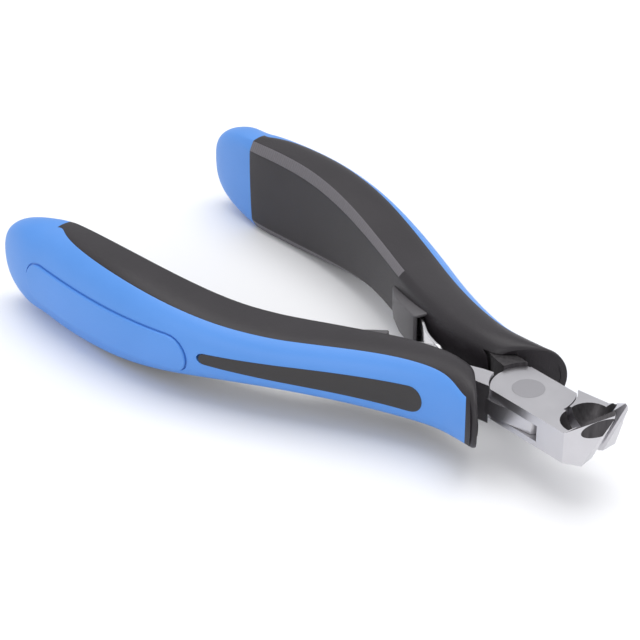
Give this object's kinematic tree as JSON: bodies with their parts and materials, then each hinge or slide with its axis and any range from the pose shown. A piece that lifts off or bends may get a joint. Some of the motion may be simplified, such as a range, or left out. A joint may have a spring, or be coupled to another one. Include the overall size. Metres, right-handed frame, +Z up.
{
  "type": "mosaic glass nippers",
  "caption": "Hand-held oblique end-cutting nippers with a box joint, raised cutting jaws, leaf springs that open them, and curved two-colour moulded grips with finger guards.",
  "frame": {"origin": "on the pivot axis, at the flat underside of the box joint", "axes": "+X from the pivot to the cutting jaws, +Y to the handle of the box half, +Z up along the pivot axis to the side where the jaw tips rise"},
  "size_m": [0.1277, 0.0674, 0.0208],
  "materials": {
    "forged_steel": "ground and satin polished tool steel",
    "rivet_steel": "ground flush with the joint",
    "spring_steel": "bright rolled spring strip",
    "grip_shell": "blue moulded shell with a fine satin grain",
    "grip_core": "dark grey soft moulding, fine matt grain",
    "grip_inlay": "near-black soft inlay, matt",
    "spring_housing": "dark grey moulded block, matt"
  },
  "bodies": {
    "box_side": {"box_half": "forged_steel", "pivot_rivet": "rivet_steel", "box_side_grip_core": "grip_core", "box_side_grip_shell": "grip_shell", "box_side_grip_inlay": "grip_inlay", "box_side_spring_housing": "spring_housing", "box_side_leaf_spring": "spring_steel", "box_side_spring_rivet": "rivet_steel"},
    "lap_side": {"lap_half": "forged_steel", "lap_side_grip_core": "grip_core", "lap_side_grip_shell": "grip_shell", "lap_side_grip_inlay": "grip_inlay", "lap_side_spring_housing": "spring_housing", "lap_side_leaf_spring": "spring_steel", "lap_side_spring_rivet": "rivet_steel"}
  },
  "joints": [
    {"name": "jaw_pivot", "type": "hinge", "parent": "box_side", "child": "lap_side", "pos_m": [0, 0, 0.003], "axis": [0, 0, 1], "range_deg": [-8.5, 0], "stiffness_Nm_per_rad": 2, "deforming": ["box_side_leaf_spring", "lap_side_leaf_spring"]}
  ]
}
